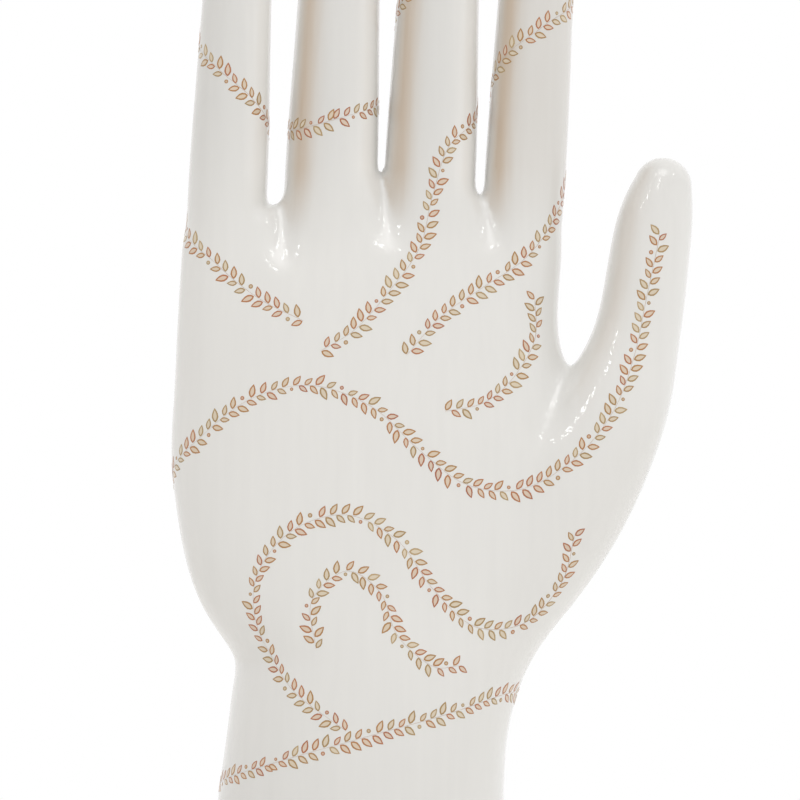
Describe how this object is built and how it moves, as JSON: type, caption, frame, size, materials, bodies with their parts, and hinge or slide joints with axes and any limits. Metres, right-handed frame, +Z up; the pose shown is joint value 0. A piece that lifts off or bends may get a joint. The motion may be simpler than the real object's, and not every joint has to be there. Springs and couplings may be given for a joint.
{
  "type": "hand sculpture",
  "caption": "Upright hollow porcelain hand ornament with straight open fingers and thumb, standing on its wrist, with a stoppered pour hole and felt pads.",
  "frame": {"origin": "bottom centre of the whole object's box, on the plane of the pads' undersides", "axes": "+Z up the hand to the fingertips, -Y towards the viewer of the pictured side, +X towards the thumb"},
  "size_m": [0.1224, 0.0638, 0.3399],
  "materials": {
    "porcelain": "glossy clear glaze over white porcelain, fired-on copper and ochre print",
    "stopper": "matt translucent silicone",
    "felt": "pressed wool felt"
  },
  "bodies": {
    "hand": {"hand_shell": "porcelain", "front_left_pad": "felt", "front_right_pad": "felt", "rear_left_pad": "felt", "rear_right_pad": "felt"},
    "stopper": {"vent_stopper": "stopper"}
  },
  "joints": [
    {"name": "stopper_pull", "type": "slide", "parent": "hand", "child": "stopper", "axis": [0, 0, -1], "range_m": [0, 0.015]}
  ]
}
